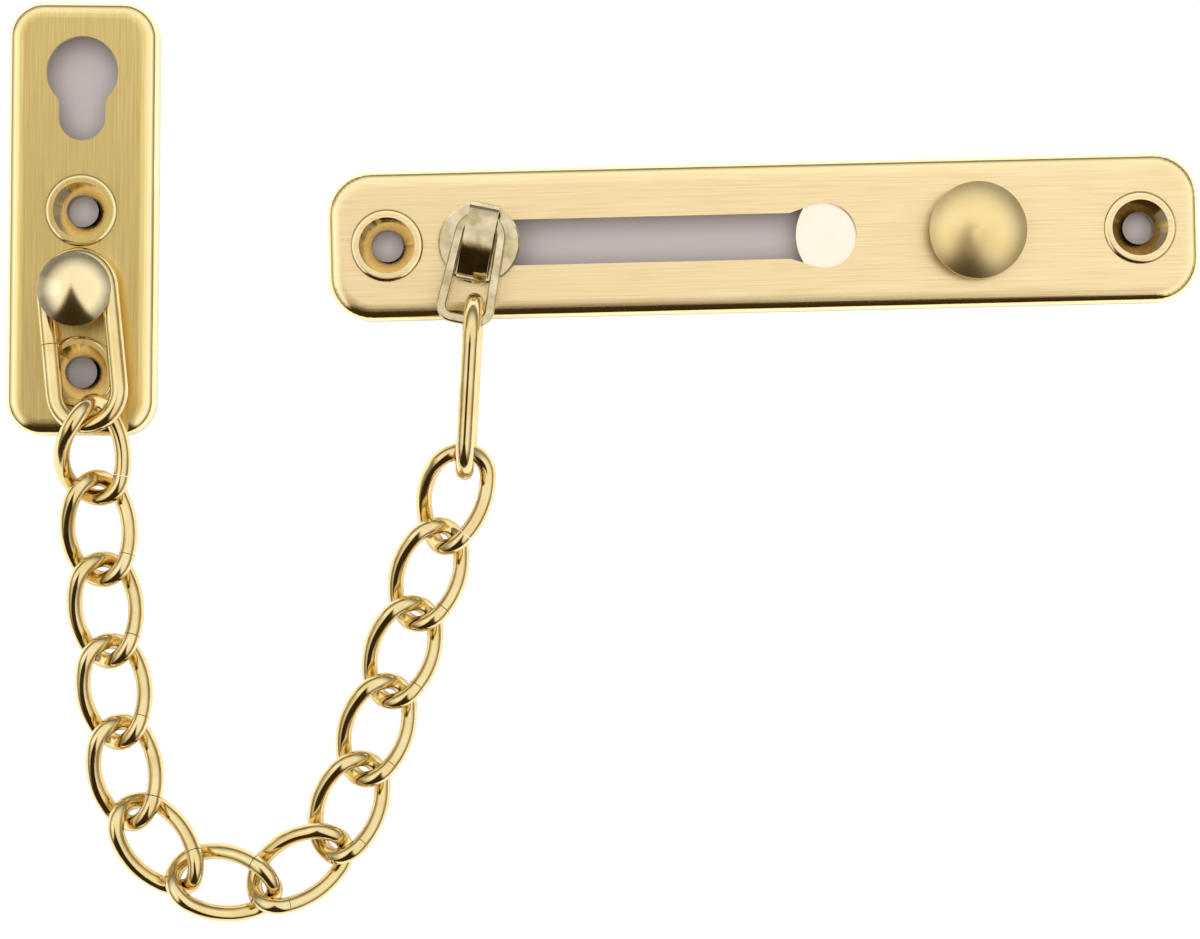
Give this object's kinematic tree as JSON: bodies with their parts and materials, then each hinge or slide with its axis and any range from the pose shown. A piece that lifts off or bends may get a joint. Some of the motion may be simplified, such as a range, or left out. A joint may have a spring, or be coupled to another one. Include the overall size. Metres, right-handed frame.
{
  "type": "door chain",
  "caption": "Door security chain: pressed brass slide plate with a push-button gate, nickel slider and bail, twisted curb chain, and an anchor plate with a parking keyhole.",
  "frame": {"origin": "midway between the two screw holes of the slide plate, on the plane of the plates' backs", "axes": "+X along the slide plate from the slider to the button, +Z away from the door"},
  "size_m": [0.175, 0.1353, 0.016],
  "materials": {
    "brushed_brass": "brushed along the plate",
    "polished_brass": "polished",
    "pale_brass": "pale, polished",
    "nickel": "nickel plated, polished",
    "spring_plate": "bright plated"
  },
  "bodies": {
    "slide_plate": {"slide_plate": "brushed_brass"},
    "gate": {"gate_spring": "spring_plate", "push_button": "polished_brass"},
    "slider_rivet": {"slider_rivet": "nickel"},
    "slider_disc": {"slider_disc": "nickel"},
    "bail": {"bail": "nickel"},
    "slider_link": {"slider_link": "polished_brass"},
    "chain_link_01": {"chain_link_01": "polished_brass"},
    "chain_link_02": {"chain_link_02": "polished_brass"},
    "chain_link_03": {"chain_link_03": "polished_brass"},
    "chain_link_04": {"chain_link_04": "polished_brass"},
    "chain_link_05": {"chain_link_05": "polished_brass"},
    "chain_link_06": {"chain_link_06": "polished_brass"},
    "chain_link_07": {"chain_link_07": "polished_brass"},
    "chain_link_08": {"chain_link_08": "polished_brass"},
    "chain_link_09": {"chain_link_09": "polished_brass"},
    "chain_link_10": {"chain_link_10": "polished_brass"},
    "chain_link_11": {"chain_link_11": "polished_brass"},
    "chain_link_12": {"chain_link_12": "polished_brass"},
    "chain_link_13": {"chain_link_13": "polished_brass"},
    "anchor_link": {"anchor_link": "polished_brass"},
    "anchor": {"anchor_plate": "brushed_brass", "anchor_rivet": "pale_brass"}
  },
  "joints": [
    {"name": "gate_press", "type": "hinge", "parent": "slide_plate", "child": "gate", "pos_m": [0.0467, 0, 0.0034], "axis": [0, -1, 0], "range_deg": [0, 2.7], "stiffness_Nm_per_rad": 1},
    {"name": "slider_slide", "type": "slide", "parent": "slide_plate", "child": "slider_rivet", "axis": [1, 0, 0], "range_m": [0, 0.0419]},
    {"name": "slider_swivel", "type": "hinge", "parent": "slider_rivet", "child": "slider_disc", "pos_m": [-0.0415, 0, 0.0047], "axis": [0, 0, 1], "range_deg": [-12, 24]},
    {"name": "bail_swing", "type": "hinge", "parent": "slider_disc", "child": "bail", "pos_m": [-0.04067, 0.00373, 0.0068], "axis": [-0.9763, 0.2164, 0], "range_deg": [0, 75]},
    {"name": "slider_link_swing", "type": "hinge", "parent": "bail", "child": "slider_link", "pos_m": [-0.04243, -0.01158, 0.0082], "axis": [-0.9962, 0.0872, 0], "range_deg": [-6, 42]},
    {"name": "link_01_turn", "type": "hinge", "parent": "slider_link", "child": "chain_link_01", "pos_m": [-0.04418, -0.03163, 0.00654], "axis": [0.9397, -0.342, 0], "range_deg": [-12, 22]},
    {"name": "link_02_turn", "type": "hinge", "parent": "chain_link_01", "child": "chain_link_02", "pos_m": [-0.04815, -0.04253, 0.00346], "axis": [-0.9397, 0.342, 0], "range_deg": [-40, 30]},
    {"name": "link_03_turn", "type": "hinge", "parent": "chain_link_02", "child": "chain_link_03", "pos_m": [-0.05225, -0.0538, 0.00306], "axis": [0.9397, -0.342, 0], "range_deg": [-40, 40]},
    {"name": "link_04_turn", "type": "hinge", "parent": "chain_link_03", "child": "chain_link_04", "pos_m": [-0.05636, -0.06508, 0.00306], "axis": [-0.9397, 0.342, 0], "range_deg": [-40, 40]},
    {"name": "link_05_turn", "type": "hinge", "parent": "chain_link_04", "child": "chain_link_05", "pos_m": [-0.06046, -0.07636, 0.00306], "axis": [0.9336, -0.3584, 0], "range_deg": [-40, 40]},
    {"name": "link_06_turn", "type": "hinge", "parent": "chain_link_05", "child": "chain_link_06", "pos_m": [-0.06496, -0.08748, 0.00306], "axis": [0, 0, 1], "range_deg": [-5, 75]},
    {"name": "link_07_turn", "type": "hinge", "parent": "chain_link_06", "child": "chain_link_07", "pos_m": [-0.07524, -0.09366, 0.00306], "axis": [0, 0, 1], "range_deg": [0, 27.4]},
    {"name": "link_08_turn", "type": "hinge", "parent": "chain_link_07", "child": "chain_link_08", "pos_m": [-0.08706, -0.09158, 0.00306], "axis": [0, 0, -1], "range_deg": [-75, 2]},
    {"name": "link_09_turn", "type": "hinge", "parent": "chain_link_08", "child": "chain_link_09", "pos_m": [-0.09445, -0.08212, 0.00306], "axis": [0, 0, -1], "range_deg": [-65, 12]},
    {"name": "link_10_turn", "type": "hinge", "parent": "chain_link_09", "child": "chain_link_10", "pos_m": [-0.09599, -0.07022, 0.00306], "axis": [0.9938, 0.1115, 0], "range_deg": [-40, 40]},
    {"name": "link_11_turn", "type": "hinge", "parent": "chain_link_10", "child": "chain_link_11", "pos_m": [-0.09712, -0.05828, 0.00306], "axis": [-0.9967, -0.0811, 0], "range_deg": [-40, 40]},
    {"name": "link_12_turn", "type": "hinge", "parent": "chain_link_11", "child": "chain_link_12", "pos_m": [-0.09794, -0.0463, 0.00306], "axis": [0.9985, 0.0549, 0], "range_deg": [-40, 40]},
    {"name": "link_13_turn", "type": "hinge", "parent": "chain_link_12", "child": "chain_link_13", "pos_m": [-0.09844, -0.03438, 0.00436], "axis": [-0.9999, -0.0157, 0], "range_deg": [-20, 40]},
    {"name": "anchor_link_swing", "type": "hinge", "parent": "chain_link_13", "child": "anchor_link", "pos_m": [-0.09833, -0.0236, 0.00962], "axis": [0.9962, 0.0872, 0], "range_deg": [-6, 35]},
    {"name": "anchor_swivel", "type": "hinge", "parent": "anchor_link", "child": "anchor", "pos_m": [-0.0999, -0.00558, 0.00726], "axis": [0, 0, 1], "range_deg": [-45, 90]}
  ],
  "couplings": [
    {"joint": "link_07_turn", "follows": "slider_slide", "rad_per_m": 11.402}
  ]
}
